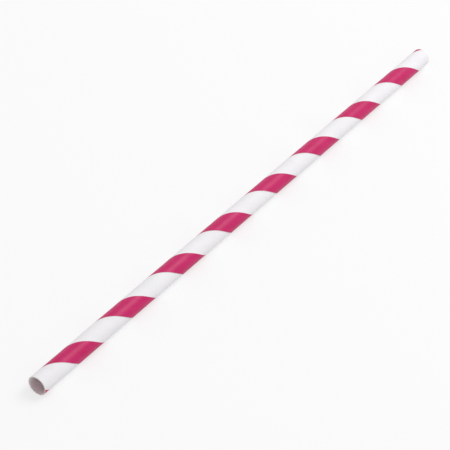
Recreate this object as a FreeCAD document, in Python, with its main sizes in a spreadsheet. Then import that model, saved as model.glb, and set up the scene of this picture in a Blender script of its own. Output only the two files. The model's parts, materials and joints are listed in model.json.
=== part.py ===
"""A paper drinking straw: one spiral-wound paper tube, open at both ends.

Three narrow strips of paper are wound on a rod, each laid edge to edge with itself and glued to the
one below, and a knife cuts the long tube square. So the straw is one piece, and no part of it moves.
Its wall is as thick as the three strips, and its bore is as wide as the rod. The strips' edges meet,
so what is left of them outside is a hairline, too fine to be cut into the solid.

The straw lies on its side along X, as it comes to rest. Its origin is on the surface that it lies on,
under the middle of its length, with +Z up.
"""

import FreeCAD, Part
import os

import Sketcher

TUBE = "straw_tube"

# alias, millimetres, what it is
DRIVING_SIZES = [
    ("straw_length", 197.0, "from knife cut to knife cut"),
    ("outer_diameter", 6.0, "across the outside of the tube"),
    ("outer_ply", 0.10, "thickness of the outer strip, which carries the print"),
    ("middle_ply", 0.15, "thickness of the middle strip"),
    ("inner_ply", 0.15, "thickness of the strip that lines the bore"),
]

OUTER_RADIUS = "dims.outer_diameter / 2"
BORE_RADIUS = f"{OUTER_RADIUS} - dims.outer_ply - dims.middle_ply - dims.inner_ply"


def driving_sheet(doc):
    """The sheet that every size of the straw is read from."""
    sheet = doc.addObject("Spreadsheet::Sheet", "dims")
    for row, (alias, millimetres, meaning) in enumerate(DRIVING_SIZES, start=1):
        sheet.set(f"A{row}", meaning)
        sheet.set(f"B{row}", str(millimetres))
        sheet.setAlias(f"B{row}", alias)
    doc.recompute()
    return sheet


def sketch_on(body, plane_role, name):
    """An empty sketch on one of the body's own origin planes."""
    sketch = body.newObject("Sketcher::SketchObject", name)
    plane = next(item for item in body.Origin.OriginFeatures if item.Role == plane_role)
    sketch.AttachmentSupport = (plane, [""])
    sketch.MapMode = "FlatFace"
    return sketch


def circle(sketch, radius, size):
    """A circle over the sketch's origin, whose radius follows the sheet as size says."""
    centre = FreeCAD.Vector(0, radius, 0)
    square_to_sketch = FreeCAD.Vector(0, 0, 1)
    number = sketch.addGeometry(Part.Circle(centre, square_to_sketch, radius), False)
    constraint = sketch.addConstraint(Sketcher.Constraint("Radius", number, radius))
    sketch.setExpression(f"Constraints[{constraint}]", size)
    return number


def wall_section(body, sheet):
    """The ring of paper that the tube is in section, with its lowest point at the origin."""
    sketch = sketch_on(body, "YZ_Plane", "wall_section")
    # in a constraint, 3 is a circle's centre, -1 with 1 the sketch's origin and -2 its upright axis
    outside = circle(sketch, sheet.outer_diameter / 2, OUTER_RADIUS)
    sketch.addConstraint(Sketcher.Constraint("PointOnObject", outside, 3, -2))
    height = Sketcher.Constraint("DistanceY", -1, 1, outside, 3, sheet.outer_diameter / 2)
    sketch.setExpression(f"Constraints[{sketch.addConstraint(height)}]", OUTER_RADIUS)
    wall = sheet.outer_ply + sheet.middle_ply + sheet.inner_ply
    bore = circle(sketch, sheet.outer_diameter / 2 - wall, BORE_RADIUS)
    sketch.addConstraint(Sketcher.Constraint("Coincident", bore, 3, outside, 3))
    return sketch


def wound_paper(body, section):
    """The glued tube between its two knife cuts, as far to one side of the origin as to the other."""
    pad = body.newObject("PartDesign::Pad", "wound_paper")
    pad.Profile = section
    pad.Midplane = True
    pad.setExpression("Length", "dims.straw_length")
    return pad


def straw_tube(doc, sheet):
    """The straw, which is one body: three strips of paper that glue has made one wall."""
    body = doc.addObject("PartDesign::Body", TUBE)
    body.Label = TUBE
    wound_paper(body, wall_section(body, sheet))
    return body


def main():
    doc = FreeCAD.newDocument("paper_straw")
    sheet = driving_sheet(doc)
    pieces = [straw_tube(doc, sheet)]
    doc.recompute()
    for item in doc.Objects:
        if {"Invalid", "Error"} & set(item.State):
            raise RuntimeError(f"{item.Label} did not recompute: {item.State}")
    for piece in pieces:
        if piece.Shape.isNull() or not piece.Shape.isValid() or len(piece.Shape.Solids) != 1:
            raise RuntimeError(f"{piece.Label} is not one valid solid")

    os.makedirs("parts", exist_ok=True)
    for piece in pieces:
        piece.Shape.exportStep(f"parts/{piece.Label}.step")
        print(f"{piece.Label}: {piece.Shape.Volume:.1f} mm3 in {len(piece.Shape.Faces)} faces")


main()
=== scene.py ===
# %% [markdown]
# # A paper drinking straw
# The real straw is three narrow strips of paper, wound on a rod, glued into one tube and cut square with
# a knife. Only the outer strip is printed, with a red band along one of its edges, and the winding turns
# that band into the barber stripe. So the straw is one shape with three finishes: printed paper outside,
# plain paper in the bore, and raw paper where the knife went through. We start by loading the packed
# model, which fixes where the straw lies and how large it is.

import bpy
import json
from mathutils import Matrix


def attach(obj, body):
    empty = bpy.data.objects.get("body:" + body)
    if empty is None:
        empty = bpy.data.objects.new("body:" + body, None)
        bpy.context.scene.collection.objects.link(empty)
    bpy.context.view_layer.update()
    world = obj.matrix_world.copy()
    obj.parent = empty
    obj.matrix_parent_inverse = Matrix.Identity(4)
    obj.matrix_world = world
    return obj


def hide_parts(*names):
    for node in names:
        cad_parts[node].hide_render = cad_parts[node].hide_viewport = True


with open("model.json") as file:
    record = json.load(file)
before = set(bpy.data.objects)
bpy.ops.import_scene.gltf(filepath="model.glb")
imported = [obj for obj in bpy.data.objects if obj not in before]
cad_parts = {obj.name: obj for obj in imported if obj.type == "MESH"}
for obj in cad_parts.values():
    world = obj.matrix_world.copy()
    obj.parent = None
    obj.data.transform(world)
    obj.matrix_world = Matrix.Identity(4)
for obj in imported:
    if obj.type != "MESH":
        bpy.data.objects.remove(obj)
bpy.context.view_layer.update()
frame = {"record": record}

# %% [markdown]
# ## Units
# A straw is thought of in millimetres, and Blender works in metres, so every size below is in millimetres
# and is multiplied by MM only when it is handed to Blender.

# %% Units
import json
import math

import bpy
from mathutils import Quaternion, Vector, noise

MM = 0.001

# %% [markdown]
# ## The tube
# A tube could be two nested cylinders, but the sizes that matter are already in the part's record: the
# barrel that fits a lid's hole, and the bore. Reading them from there keeps the two models equal, and is
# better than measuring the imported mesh, whose facets cut the circle's corners.

# %% The tube's sizes
mounts = {mount["name"]: mount for mount in frame["record"]["mounts"]}
LENGTH = mounts["barrel"]["dims"]["length_mm"]
OUTSIDE = mounts["barrel"]["dims"]["r_mm"]
BORE = mounts["bore"]["dims"]["r_mm"]
AXIS_HEIGHT = mounts["bore"]["pos_m"][2] / MM
OUTER_PLY = 0.10
MIDDLE_PLY = 0.15
INNER_PLY = 0.15
WALL = OUTER_PLY + MIDDLE_PLY + INNER_PLY
print("straw:", LENGTH, "long,", 2 * OUTSIDE, "across, wall", round(OUTSIDE - BORE, 2), "mm")

# %% [markdown]
# ## The winding
# Each strip climbs along the straw by one lead for every turn round it. Unrolled, the straw is a flat
# sheet as wide as its girth, on which the strips are straight bands side by side. So any place on the
# straw can be named in two ways: by its distance along and its angle round, or by where it is on the
# strip. The second way is used for the mesh and for the print, because then seams and stripe edges follow
# rows of the mesh and stay sharp.

# %% The winding's sizes
LEAD = 23.7
FIRST_EDGE = 7.4
PRINTED_SHARE = 0.458
GIRTH = 2 * math.pi * OUTSIDE
SLOPE = math.atan2(GIRTH, LEAD)
STRIP_WIDTH = LEAD * math.sin(SLOPE)
SEAMS_APART = 1 / 3
OUTER_SEAM = 0.0
MIDDLE_SEAM = SEAMS_APART
INNER_SEAM = 2 * SEAMS_APART


def angle_at(along, place):
    """The angle from the top of the straw toward -Y, for a distance along it and a place on the strip.

    The place is 0 at one edge of the outer strip and 1 at the other.
    """
    return 2 * math.pi * ((along - FIRST_EDGE) / LEAD - place)


def across_from(place, seam):
    """How many millimetres across the strip a place is from a seam, less than 0 before it."""
    return ((place - seam + 0.5) % 1 - 0.5) * STRIP_WIDTH


print("strip:", round(STRIP_WIDTH, 2), "mm wide, at", round(math.degrees(SLOPE), 1), "degrees to the axis")

# %% [markdown]
# ## The outside
# A wound straw is not a perfect cylinder. The outer strip's edges meet in a hairline gap as deep as the
# paper is thick, and they lift a little beside it. The seams of the two strips below show through as
# shallow valleys, the paper is slightly uneven, and the knife squeezes both ends. Bump alone could paint
# most of this, but real depth holds in every light and in the exported mesh, so it is shaped here. All of
# it goes inward from the nominal size.

# %% How far the outside is from the axis
SEAM_GAP = 0.16
# nearer to a seam than this, a point is down in the gap
INSIDE_GAP = 0.45 * SEAM_GAP
EDGE_LIFT = 0.02
LIFT_WIDTH = 0.25
# each valley's depth and width
MIDDLE_VALLEY = (0.018, 0.5)
INNER_VALLEY = (0.008, 0.6)
SQUEEZE = 0.05
SQUEEZE_REACH = 3.0
SQUEEZE_ANGLE = 0.45
UNEVEN = 0.006
UNEVEN_SCALE = 0.35


def valley(place, seam, depth, width):
    """The dip over a seam of a strip below, for the valley's own depth and width."""
    return depth * math.exp(-(across_from(place, seam) / width) ** 2)


def squeeze(along, angle):
    """How far the knife pressed the wall in, which fades with the distance from a cut."""
    near_cut = math.exp(-along / SQUEEZE_REACH) + math.exp((along - LENGTH) / SQUEEZE_REACH)
    return SQUEEZE * near_cut * math.cos(angle - SQUEEZE_ANGLE) ** 2


def uneven(along, angle, radius):
    """The unevenness of the paper, from a smooth noise that has no seam anywhere round the straw."""
    spot = Vector((along, radius * math.cos(angle), radius * math.sin(angle)))
    return UNEVEN * noise.noise(spot * UNEVEN_SCALE)


def outside_radius(along, place, gap=True):
    """The distance from the axis to the outer strip, or to the middle one where the gap shows it."""
    angle = angle_at(along, place)
    from_seam = abs(across_from(place, OUTER_SEAM))
    if gap and from_seam < INSIDE_GAP:
        return OUTSIDE - OUTER_PLY - squeeze(along, angle)
    radius = OUTSIDE - EDGE_LIFT * (1 - math.exp(-(from_seam - SEAM_GAP / 2) / LIFT_WIDTH))
    radius -= valley(place, MIDDLE_SEAM, *MIDDLE_VALLEY) + valley(place, INNER_SEAM, *INNER_VALLEY)
    radius += uneven(along, angle, OUTSIDE) - squeeze(along, angle)
    return min(radius, OUTSIDE)


print("outside at mid length:", round(outside_radius(LENGTH / 2, 0.2), 3), "mm from the axis")

# %% [markdown]
# ## The bore
# Inside, the inner strip was wound on a polished rod, so it is smoother than the outside. It has a seam
# of its own, a third of the strip away from the others, because glued strips are always laid with their
# seams apart. The same gap is cut into it, outward this time.

# %% How far the bore is from the axis
BORE_EASE = 0.008


def bore_radius(along, place, gap=True):
    """The distance from the axis to the strip that lines the bore, or to the next one in its gap."""
    angle = angle_at(along, place)
    radius = BORE + BORE_EASE - squeeze(along, angle) + uneven(along, angle, BORE)
    if gap and abs(across_from(place, INNER_SEAM)) < INSIDE_GAP:
        radius += INNER_PLY
    return radius


print("bore at mid length:", round(bore_radius(LENGTH / 2, 0.2), 3), "mm from the axis")

# %% [markdown]
# ## Columns and rings
# The mesh is one closed grid. Its columns keep to one place on the strip, so they wind round the straw,
# and its rings are circles round it. Columns crowd together beside each seam, where the shape turns
# sharply, and rings crowd together at the cuts. Even spacing everywhere would need many times the faces
# for the same sharp seams.

# %% Where the columns and the rings lie
BESIDE_SEAM = [0.06, 0.08, 0.10, 0.16, 0.30]
BESIDE_CUT = [0.06, 0.12, 0.25, 0.50]
BETWEEN_SEAMS = 22
RING_STEP = 0.62


def column_places():
    """The places on the strip that have a column, from 0 up to but not including 1."""
    places = []
    for seam in (OUTER_SEAM, MIDDLE_SEAM, INNER_SEAM):
        beside = [offset / STRIP_WIDTH for offset in BESIDE_SEAM]
        start = seam + beside[-1]
        step = (SEAMS_APART - 2 * beside[-1]) / BETWEEN_SEAMS
        places.append(seam)
        places += [seam + offset for offset in beside]
        places += [start + step * count for count in range(1, BETWEEN_SEAMS)]
        places += [seam + SEAMS_APART - offset for offset in reversed(beside)]
    return places


def ring_places():
    """The distances from the near cut that have a ring."""
    first = BESIDE_CUT[-1]
    steps = round((LENGTH - 2 * first) / RING_STEP)
    even = [first + (LENGTH - 2 * first) * count / steps for count in range(1, steps)]
    return BESIDE_CUT + even + [LENGTH - distance for distance in reversed(BESIDE_CUT)]


columns = column_places()
rings = ring_places()
print(len(columns), "columns and", len(rings), "rings")

# %% [markdown]
# ## The knife cuts
# Each end shows the wall's three strips. The knife leaves their faces almost flat, rounds the outer and
# the inner edge, and opens a fine line between one strip and the next. Where the middle strip's own seam
# comes out, there is a pit. A boolean cut would give a perfect flat ring, so the cut is laid out as a few
# narrow bands through the wall instead, each with its own small depth.

# %% The profile of a cut
OUTER_GLUE = OUTER_PLY / WALL
INNER_GLUE = (OUTER_PLY + MIDDLE_PLY) / WALL
LINE_DEPTH = 0.02
BESIDE_LINE = 0.015
ROUNDING = 0.02
PLY_WANDER = 0.035
PLY_WAVES = 2
FUZZ = 0.012
FUZZ_AROUND = 2.5
FUZZ_THROUGH = 6
CUTS_APART = 9.7
PIT_DEPTH = 0.30
CRUSHED = 0.02

# how far behind the knife's plane each band starts, and at which share of the wall from the outside
CUT_BANDS = [
    (ROUNDING, 0.04),
    (0.0, 0.10),
    (0.0, OUTER_GLUE - BESIDE_LINE),
    (LINE_DEPTH, OUTER_GLUE),
    (0.0, OUTER_GLUE + BESIDE_LINE),
    (0.0, 0.43),
    (0.0, INNER_GLUE - BESIDE_LINE),
    (LINE_DEPTH, INNER_GLUE),
    (0.0, INNER_GLUE + BESIDE_LINE),
    (0.0, 0.80),
    (0.0, 0.92),
    (ROUNDING, 0.97),
]


def wandered_share(place, share, end):
    """A share of the wall, moved a little between its edges where the glued strips are uneven."""
    around = 2 * math.pi * place
    spot = Vector((PLY_WAVES * math.cos(around), PLY_WAVES * math.sin(around), end + share))
    most_in_the_middle = 4 * share * (1 - share)
    return share + PLY_WANDER * noise.noise(spot) * most_in_the_middle


def cut_depth(place, share, depth, end):
    """How far behind the knife's plane the cut is, for a place on the strip and a share of the wall."""
    # the two cuts lie far apart in the noise, so that they differ
    spot = Vector((place * GIRTH * FUZZ_AROUND, share * FUZZ_THROUGH, end * CUTS_APART))
    rough = noise.noise(spot)
    in_middle = OUTER_GLUE < share < INNER_GLUE
    if in_middle and abs(across_from(place, MIDDLE_SEAM)) < INSIDE_GAP:
        depth += PIT_DEPTH
    return depth + FUZZ * (0.5 + 0.5 * rough)


def cut_radius(place, share, end):
    """The distance from the axis of a place on a cut.

    Where a strip's gap comes out, the bands of that strip are crushed together at the gap's bottom, and
    the others run straight past it.
    """
    outer, inner = outside_radius(end, place, gap=False), bore_radius(end, place, gap=False)
    radius = outer + (inner - outer) * wandered_share(place, share, end)
    radius = min(radius, outside_radius(end, place) - CRUSHED * share)
    return max(radius, bore_radius(end, place) + CRUSHED * (1 - share))


print("a cut has", len(CUT_BANDS), "bands, and glue lines at", OUTER_GLUE, "and", INNER_GLUE, "of the wall")

# %% [markdown]
# ## One closed skin
# The rows of the grid run along the outside from the near end to the far one, over the far cut, back
# through the bore and over the near cut, where they meet the first row again. Such a grid is like a
# stretched ring doughnut: it is closed everywhere, so light can't leak into it and it has a true volume.

# %% The rows, in order
rows = [("outside", along, 0.0) for along in rings]
rows += [("far cut", depth, share) for depth, share in CUT_BANDS]
rows += [("bore", along, 1.0) for along in reversed(rings)]
rows += [("near cut", depth, share) for depth, share in reversed(CUT_BANDS)]

EDGE_WANDER = 0.03
WANDER_SCALE = 0.45
SEAM_SPREAD = 20
SIDE_SPREAD = 5.0


def wandered(along, place):
    """A place on the strip, moved a little where a hand-fed strip's edge wanders beside its seam."""
    seam = min((OUTER_SEAM, MIDDLE_SEAM, INNER_SEAM, 1.0), key=lambda edge: abs(place - edge))
    offset = (place - seam) * STRIP_WIDTH
    fade = max(0.0, 1 - abs(offset) / BESIDE_SEAM[-1])
    # every edge of every seam has a place of its own in the noise, so no two wander alike
    side = SIDE_SPREAD if offset > 0 else -SIDE_SPREAD
    drift = noise.noise(Vector((along * WANDER_SCALE, seam * SEAM_SPREAD, side)))
    return place + EDGE_WANDER * fade * drift / STRIP_WIDTH


def straw_point(row, place):
    """Where a column crosses a row, in metres."""
    part, distance, share = row
    along = distance
    if part == "outside":
        radius = outside_radius(along, place)
    elif part == "bore":
        radius = bore_radius(along, place)
    else:
        end = 0.0 if part == "near cut" else LENGTH
        radius = cut_radius(place, share, end)
        along = abs(end - cut_depth(place, share, distance, end))
    angle = angle_at(along, wandered(along, place))
    x = along - LENGTH / 2
    y = -radius * math.sin(angle)
    z = AXIS_HEIGHT + radius * math.cos(angle)
    return (x * MM, y * MM, z * MM)


points = [straw_point(row, place) for row in rows for place in columns]
print(len(rows), "rows make", len(points), "points")

# %% [markdown]
# ## Faces and their finishes
# Each face joins two neighbouring rows and two neighbouring columns, and the last of each joins the first
# again. The rounding at a cut's outer edge is still the printed side of the paper, and that at its inner
# edge the lining, so the finish changes just inside them.

# %% Join the points, and say which finish each face has
PRINTED, LINING, CUT = range(3)


def finish_of(row, next_row):
    """The finish of the faces between two rows."""
    parts = {row[0], next_row[0]}
    if "outside" in parts:
        return PRINTED
    return LINING if "bore" in parts else CUT


faces, finishes, corners = [], [], []
for i, row in enumerate(rows):
    next_i = (i + 1) % len(rows)
    finish = finish_of(row, rows[next_i])
    for j, place in enumerate(columns):
        next_j = (j + 1) % len(columns)
        faces.append([
            i * len(columns) + j,
            next_i * len(columns) + j,
            next_i * len(columns) + next_j,
            i * len(columns) + next_j,
        ])
        next_place = columns[next_j] if next_j else 1.0
        corners.append((i, next_i, place, next_place))
        finishes.append(finish)

skin = bpy.data.meshes.new("straw")
skin.from_pydata(points, [], faces)
skin.polygons.foreach_set("material_index", finishes)
skin.polygons.foreach_set("use_smooth", [True] * len(faces))
straw = bpy.data.objects.new("straw", skin)
bpy.context.scene.collection.objects.link(straw)
print(2 * len(faces), "triangles")

# %% [markdown]
# ## The strip, unrolled
# The finishes need to know where they are on the paper. A UV map can hold that in real millimetres: how
# far across the strip, and how far along it. The print is then a plain band and the paper's fibres run
# along it, as they did on the flat reel. The lining has its own strip, so its map starts at its own seam.
# On the cuts the map gives the distance round the straw and the depth through the wall.

# %% A map of the paper, in millimetres
def row_along(row):
    """The distance of a row from the near cut."""
    part, distance, share = row
    return LENGTH - distance if part == "far cut" else distance


def strip_spot(row, place, finish):
    """Where a corner is on the flat paper."""
    if finish == CUT:
        return (place * GIRTH, row[2] * WALL)
    along = row_along(row) / math.cos(SLOPE) - GIRTH * math.sin(SLOPE) * (place + FIRST_EDGE / LEAD)
    return (place * STRIP_WIDTH, along)


def strip_spots(corner, finish):
    """The four corners of a face on the flat paper, in the order of the face's points."""
    i, next_i, place, next_place = corner
    shift = (place - INNER_SEAM) % 1 - place if finish == LINING else 0.0
    start, end = place + shift, next_place + shift
    return [
        strip_spot(rows[i], start, finish),
        strip_spot(rows[next_i], start, finish),
        strip_spot(rows[next_i], end, finish),
        strip_spot(rows[i], end, finish),
    ]


def add_map(name, spots_of_face):
    """Adds a UV map from a function that places a face's four corners, and gives its numbers."""
    flat = []
    for corner, finish in zip(corners, finishes):
        for spot in spots_of_face(corner, finish):
            flat += spot
    skin.uv_layers.new(name=name).data.foreach_set("uv", flat)
    return flat


add_map("strip", strip_spots)
print("outer strip, flat:", round(STRIP_WIDTH, 2), "by", round(LENGTH / math.cos(SLOPE)), "mm")

# %% [markdown]
# ## A map for exported pictures
# When the straw is exported, its finish is painted into a square picture. A long thin tube wastes most of
# a square, so a second map cuts it into four lengths and stands them side by side. The outside has the
# lower three quarters. The bore, of which little shows, is squeezed in above it, and the two cuts have a
# band at the top. Every length starts on a whole pixel of the picture, or the narrow seam gets lost.

# %% A square map for the exported finish
LENGTHS = 4
GUTTER = 1 / 32
OUTSIDE_BAND = (0.015, 0.740)
BORE_BAND = (0.765, 0.945)
CUT_BAND = (0.965, 0.990)
CUT_LEFT = {"near cut": 0.02, "far cut": 0.52}
CUT_WIDTH = 0.46


def square_spots(corner, finish):
    """The four corners of a face on the square map."""
    i, next_i, place, next_place = corner
    rows_of_face = (rows[i], rows[next_i], rows[next_i], rows[i])
    start = (place - INNER_SEAM) % 1 if finish == LINING else place
    across = (start, start, start + next_place - place, start + next_place - place)
    if finish == CUT:
        low, high = CUT_BAND
        left = CUT_LEFT[rows[i][0]]
        return [
            (left + CUT_WIDTH * share, low + (high - low) * row[2])
            for share, row in zip(across, rows_of_face)
        ]
    low, high = OUTSIDE_BAND if finish == PRINTED else BORE_BAND
    distances = [row_along(row) for row in rows_of_face]
    middle = (min(distances) + max(distances)) / 2
    number = min(int(middle / LENGTH * LENGTHS), LENGTHS - 1)
    start_of_length = number * LENGTH / LENGTHS
    return [
        (
            (number + GUTTER + (1 - 2 * GUTTER) * share) / LENGTHS,
            low + (high - low) * (distance - start_of_length) * LENGTHS / LENGTH,
        )
        for share, distance in zip(across, distances)
    ]


square = add_map("OFBake", square_spots)
print("square map spans", round(min(square), 3), "to", round(max(square), 3))

# %% [markdown]
# ## Finishes as sums
# A finish in Blender is a graph of nodes. Written out one node at a time it is long and hard to follow,
# so a small class wraps a node's output and lets Python's own signs add the Math nodes: 1 - mask is a
# mask turned round. Every other node comes from one method, which takes its kind, its settings, and what
# goes into its sockets.

# %% A value that varies over a surface, and a finish to put it in
class Varying:
    """A node's output. Sums and comparisons with it add Math nodes."""

    def __init__(self, graph, socket):
        self.graph = graph
        self.socket = socket

    def math(self, operation, first, second, clamp=False):
        """What a Math node makes of two values."""
        settings = {"operation": operation, "use_clamp": clamp}
        return self.graph.node("ShaderNodeMath", settings, {0: first, 1: second})

    def __add__(self, other):
        return self.math("ADD", self, other)

    def __radd__(self, other):
        return self.math("ADD", other, self)

    def __sub__(self, other):
        return self.math("SUBTRACT", self, other)

    def __rsub__(self, other):
        return self.math("SUBTRACT", other, self)

    def __mul__(self, other):
        return self.math("MULTIPLY", self, other)

    def __rmul__(self, other):
        return self.math("MULTIPLY", other, self)

    def __truediv__(self, other):
        return self.math("DIVIDE", self, other)

    def __rtruediv__(self, other):
        return self.math("DIVIDE", other, self)

    def clamped(self):
        """The same value, kept between 0 and 1."""
        return self.math("ADD", self, 0.0, clamp=True)

    def distance_to(self, other):
        """How far the value is from another, whichever is larger."""
        return self.math("ABSOLUTE", self - other, 0.0)

    def least(self, other):
        """The smaller of two values."""
        return self.math("MINIMUM", self, other)

    def past_whole(self):
        """What is left of the value over the last whole number."""
        return self.math("FRACT", self, 0.0)


class Graph:
    """The nodes of a material or of the world."""

    def __init__(self, owner):
        owner.use_nodes = True
        self.tree = owner.node_tree

    def feed(self, socket, value):
        """Links a socket to a varying value, or sets it to a plain one."""
        if isinstance(value, Varying):
            self.tree.links.new(value.socket, socket)
        else:
            socket.default_value = value

    def node(self, kind, settings, sockets, output=0):
        """Adds a node with its settings and sockets, and gives one of its outputs."""
        made = self.tree.nodes.new(kind)
        for name, value in settings.items():
            setattr(made, name, value)
        for name, value in sockets.items():
            self.feed(made.inputs[name], value)
        return Varying(self, made.outputs[output])

    def blend(self, share, first, second):
        """One colour where the share is 0, the other where it is 1."""
        return self.node("ShaderNodeMix", {"data_type": "RGBA"}, {0: share, 6: first, 7: second}, output=2)

    def seen_directly(self):
        """1 for rays from the camera, and for those that gloss or glass sends on, else 0."""
        camera_ray, glossy_ray, glass_ray = [
            self.node("ShaderNodeLightPath", {}, {}, output=name)
            for name in ("Is Camera Ray", "Is Glossy Ray", "Is Transmission Ray")
        ]
        return (camera_ray + glossy_ray + glass_ray).clamped()


class Finish(Graph):
    """A material with Blender's all-round shader."""

    def __init__(self, name):
        self.material = bpy.data.materials.new(name)
        super().__init__(self.material)
        self.shader = self.tree.nodes["Principled BSDF"]

    def set(self, **sockets):
        """Feeds the shader's own sockets, named in small letters with _ for a space."""
        own = {socket.name.lower().replace(" ", "_"): socket for socket in self.shader.inputs}
        for name, value in sockets.items():
            self.feed(own[name], value)


print("finishes are made of values that can be added, multiplied and compared")

# %% [markdown]
# ## Colours as they look
# Inks and papers are chosen from numbers that run from 0 to 255 on a screen. Blender's sockets
# want linear light, in which half as bright to the eye is about a fifth. One function converts them, so
# the finishes below can give colours as they look.

# %% From a screen's colour to linear light
def colour(red, green, blue):
    """A colour for a socket, from its values on a screen."""
    linear = []
    for value in (red, green, blue):
        value /= 255
        linear.append(value / 12.92 if value <= 0.04045 else ((value + 0.055) / 1.055) ** 2.4)
    return (*linear, 1.0)


print("middle grey on a screen is", round(colour(128, 128, 128)[0], 3), "in linear light")

# %% [markdown]
# ## Paper
# Straw paper is pressed wood fibre. Close up it has a fine grain that runs along the strip, because the
# fibres line up as the sheet is made, and a cloudiness a few millimetres wide. Noise stretched along the
# strip gives both. All three finishes use it, so it is made once, as a function.

# %% The grain of the paper
NOISE_LAYER = 0.37


def paper_spot(finish):
    """Across and along the strip, in millimetres, from the paper map."""
    spot = finish.node("ShaderNodeUVMap", {"uv_map": "strip"}, {}, output="UV")
    across = finish.node("ShaderNodeSeparateXYZ", {}, {0: spot}, output="X")
    along = finish.node("ShaderNodeSeparateXYZ", {}, {0: spot}, output="Y")
    return across, along


def speckle(finish, across, along, size, stretch, detail=2.0):
    """Noise from 0 to 1 with spots of that size across the strip, drawn out along it."""
    place = finish.node(
        "ShaderNodeCombineXYZ", {}, {"X": across / size, "Y": along / (size * stretch), "Z": NOISE_LAYER}
    )
    return finish.node("ShaderNodeTexNoise", {}, {"Vector": place, "Scale": 1.0, "Detail": detail})


def relief(finish, height, depth):
    """A bump as deep as that many millimetres where the height goes from 0 to 1."""
    return finish.node("ShaderNodeBump", {}, {"Strength": 1.0, "Distance": depth * MM, "Height": height})


print("paper grain is ready")

# %% [markdown]
# ## Printed paper
# The outer strip is white kraft paper with a water-based ink printed on it before it is slit and wound.
# The ink starts at the strip's edge, which is why one side of the stripe always lies on the seam, and
# its other side is the soft edge that a printing plate leaves. Ink sits in the grain: it is a little
# darker where it pools, and misses a few fibres. It also closes the paper's surface, so the stripe is a
# touch glossier than the white. The walls of the gap are bare, because the strip is slit after printing.
# The gap is painted a warm grey: partly the tint of the glue, partly painted shade for the narrow recess.

# %% The printed paper
PRINT_EDGE = PRINTED_SHARE * STRIP_WIDTH
EDGE_SOFTNESS = 0.07
EDGE_RAGGED = 0.12
MISSED_ABOVE = 0.70
MISSED_SHARPNESS = 8
MISSED_INK = 0.18
POOLING = 2.4
GAP_SOFTNESS = 0.01

printed = Finish("printed paper")
across, along = paper_spot(printed)
grain = speckle(printed, across, along, size=0.12, stretch=5.0, detail=3.0)
cloud = speckle(printed, across, along, size=2.6, stretch=1.8)
fleck = speckle(printed, across, along, size=0.07, stretch=3.0, detail=1.0)

plate_edge = PRINT_EDGE + (speckle(printed, across, along, size=0.5, stretch=1.0) - 0.5) * EDGE_RAGGED
ink = ((plate_edge - across) / EDGE_SOFTNESS + 0.5).clamped()
missed = ((fleck - MISSED_ABOVE) * MISSED_SHARPNESS).clamped()
ink = ink * (1 - missed * MISSED_INK)

pooled = ((cloud * 0.5 + grain * 0.5 - 0.5) * POOLING + 0.5).clamped()
red = printed.blend(pooled, colour(205, 38, 107), colour(188, 18, 89))
white = printed.blend(pooled, colour(244, 243, 245), colour(236, 234, 238))
sheet_colour = printed.blend(ink, white, red)

from_seam = across.least(STRIP_WIDTH - across)
# the gap is painted warm grey: partly the glue's tint, partly painted shade of the narrow recess
gap_glue_and_shade = ((SEAM_GAP / 2 - from_seam) / GAP_SOFTNESS + 0.5).clamped()
printed.set(
    base_color=printed.blend(gap_glue_and_shade, sheet_colour, colour(214, 208, 206)),
    roughness=0.60 - ink * 0.20 + grain * 0.06,
    normal=relief(printed, height=grain * 0.6 + cloud * 0.4, depth=0.012),
)
print("printed band:", round(PRINT_EDGE, 2), "of", round(STRIP_WIDTH, 2), "mm")

# %% [markdown]
# ## The lining
# The strip in the bore is the same paper without print, and the rod has burnished it a little. Light
# reaches it mostly through the ends, so its own colour is near that of the outside's white, and the
# shadow comes by itself. A little light also soaks through the wall, and where it has passed the red ink
# it is pink. Real translucency would cost much time for so little, so the lining is tinted behind the
# print instead: the strips turn together, so the print's place on its strip is known from inside too.

# %% The bore's lining
TINT_SOFTNESS = 0.16

lining = Finish("bore lining")
across, along = paper_spot(lining)
grain = speckle(lining, across, along, size=0.12, stretch=5.0, detail=3.0)
cloud = speckle(lining, across, along, size=2.2, stretch=2.0)
plain = lining.blend(cloud, colour(243, 240, 241), colour(234, 231, 232))
pink = lining.blend(cloud, colour(241, 219, 224), colour(232, 209, 215))
outer_place = (across / STRIP_WIDTH + INNER_SEAM).past_whole()
inside_print = PRINTED_SHARE / 2 - outer_place.distance_to(PRINTED_SHARE / 2)
behind_print = (inside_print / TINT_SOFTNESS + 0.5).clamped()
lining.set(
    base_color=lining.blend(behind_print, plain, pink),
    roughness=0.56 + grain * 0.06,
    normal=relief(lining, height=grain * 0.7 + cloud * 0.3, depth=0.010),
)
print("lining is ready")

# %% [markdown]
# ## The cut paper
# A knife leaves raw fibre ends, which are duller than the paper's face, and a fine grey line of glue
# between one strip and the next. The paper map gives the depth through the wall here, so a line is a
# place at the right depth.

# %% The cut paper
GLUE_HALF = 0.012
GLUE_SOFTNESS = 0.01
GLUE_SHADE = 0.8

cut = Finish("cut paper")
around, through = paper_spot(cut)
fibre = speckle(cut, around, through, size=0.05, stretch=0.8, detail=3.0)
glue = 0.0
for share in (OUTER_GLUE, INNER_GLUE):
    from_line = through.distance_to(share * WALL)
    glue = ((GLUE_HALF - from_line) / GLUE_SOFTNESS + 0.5).clamped() + glue
raw = cut.blend(fibre, colour(236, 231, 227), colour(212, 205, 200))
cut.set(
    base_color=cut.blend(glue.clamped() * GLUE_SHADE, raw, colour(168, 158, 152)),
    roughness=0.85 + fibre * 0.1,
    normal=relief(cut, height=fibre, depth=0.015),
)
print("glue lines, mm through the wall:", round(OUTER_GLUE * WALL, 3), round(INNER_GLUE * WALL, 3))

# %% [markdown]
# ## Dress the straw
# Plain paper shines less than the shader would by itself, so its sheen is turned down. The three finishes
# go on in the order that the faces were numbered. Then the straw is tied to the imported model: it moves
# with its body, and the imported tube is hidden in its place.

# %% Put the finishes on, and tie the straw to the imported model
PAPER_SHEEN = 0.25

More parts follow.
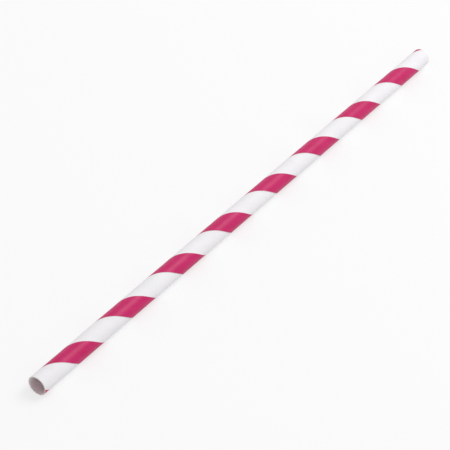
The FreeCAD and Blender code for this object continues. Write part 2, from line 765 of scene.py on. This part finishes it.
for finish in (printed, lining, cut):
    finish.set(specular_ior_level=PAPER_SHEEN)
    skin.materials.append(finish.material)
skin.validate()
skin.update()

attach(straw, "root")
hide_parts("straw_tube")
print("straw has", len(skin.materials), "finishes")

# %% [markdown]
# ## A pale floor
# The straw lies on a white surface that shows only a soft shadow. A floor that is white paint alone turns
# grey at this light level, and brighter lamps would bleach the straw. So to the camera, straight on or
# in a reflection, the floor is part paint and part glowing white: the paint keeps the shadow, and the
# glow keeps it pale. The light that the floor sends up to the straw comes from the paint alone.

# %% The floor
FLOOR_SIZE = 3000
FLOOR_GLOW = 0.68

half = FLOOR_SIZE / 2 * MM
floor_corners = [(-half, -half, 0), (half, -half, 0), (half, half, 0), (-half, half, 0)]
sheet = bpy.data.meshes.new("floor")
sheet.from_pydata(floor_corners, [], [(0, 1, 2, 3)])
floor = bpy.data.objects.new("floor", sheet)
bpy.context.scene.collection.objects.link(floor)

paint = Finish("floor paint")
paint.set(base_color=colour(243, 243, 244), roughness=0.9)
glow = paint.node("ShaderNodeEmission", {}, {"Color": (1, 1, 1, 1), "Strength": 1.0})
painted = Varying(paint, paint.shader.outputs[0])
mixed = paint.node("ShaderNodeMixShader", {}, {0: paint.seen_directly() * FLOOR_GLOW, 1: painted, 2: glow})
paint.feed(paint.tree.nodes["Material Output"].inputs["Surface"], mixed)
sheet.materials.append(paint.material)
print("floor is", FLOOR_SIZE * MM, "m wide")

# %% [markdown]
# ## Soft light
# The straw was lit like most small goods: a large soft lamp above and white all round, so that shadows
# are faint. A lamp straight overhead would leave the red flat, because a tube sends its sheen on only to
# an eye at the same slant as the light. The camera looks along the straw from beyond its near end, so
# the lamp hangs beyond the far one, and the red gets its soft bright middle. The strengths are set so
# that a colour renders about as written.

# %% The world and the lamp
WORLD_LIGHT = 0.60
LAMP_POWER = 5.3
LAMP_SIZE = 560
LAMP_PLACE = Vector((520, -260, 840))

world = bpy.data.worlds.new("white room")
room = Graph(world)
seen = room.seen_directly()
background = room.tree.nodes["Background"]
room.feed(background.inputs["Color"], (1, 1, 1, 1))
room.feed(background.inputs["Strength"], WORLD_LIGHT + seen * (1 - WORLD_LIGHT))
bpy.context.scene.world = world

lamp_data = bpy.data.lights.new("soft lamp", "AREA")
lamp_data.shape = "SQUARE"
lamp_data.size = LAMP_SIZE * MM
lamp_data.energy = LAMP_POWER
lamp = bpy.data.objects.new("soft lamp", lamp_data)
lamp.location = LAMP_PLACE * MM
lamp.rotation_euler = (-LAMP_PLACE).to_track_quat("-Z", "Y").to_euler()
bpy.context.scene.collection.objects.link(lamp)
print("lamp", round(LAMP_PLACE.length), "mm away,", LAMP_POWER, "W; world", WORLD_LIGHT)

# %% [markdown]
# ## The camera
# The camera stands where the photographer's did: a little over 0.6 m away, above the near end and to one
# side. It looks straight at the straw, and is turned a few degrees about its own axis, so that the straw
# keeps the slope that it had in the photograph. The lens is longer, so that the straw fills the picture.
# A longer lens from the same place only enlarges, and the perspective stays the same.

# %% The camera
MIDDLE = Vector((0, 0, AXIS_HEIGHT))
AIM = MIDDLE - Vector((12, 0, 0))
DISTANCE = 621.2
ELEVATION = math.radians(39.56)
BEARING = math.radians(-147.38)
ROLL = math.radians(3.8)
LENS = 166
SENSOR = 36

direction = Vector((
    math.cos(ELEVATION) * math.cos(BEARING),
    math.cos(ELEVATION) * math.sin(BEARING),
    math.sin(ELEVATION),
))
camera_data = bpy.data.cameras.new("camera")
camera_data.lens = LENS
camera_data.sensor_width = SENSOR
camera = bpy.data.objects.new("camera", camera_data)
place = MIDDLE + direction * DISTANCE
camera.location = place * MM
camera.rotation_mode = "QUATERNION"
camera.rotation_quaternion = (AIM - place).to_track_quat("-Z", "Y") @ Quaternion((0, 0, 1), ROLL)
bpy.context.scene.collection.objects.link(camera)
bpy.context.scene.camera = camera
bpy.context.scene.view_settings.view_transform = "Standard"
print("camera at", [round(value / MM, 1) for value in camera.location], "mm")
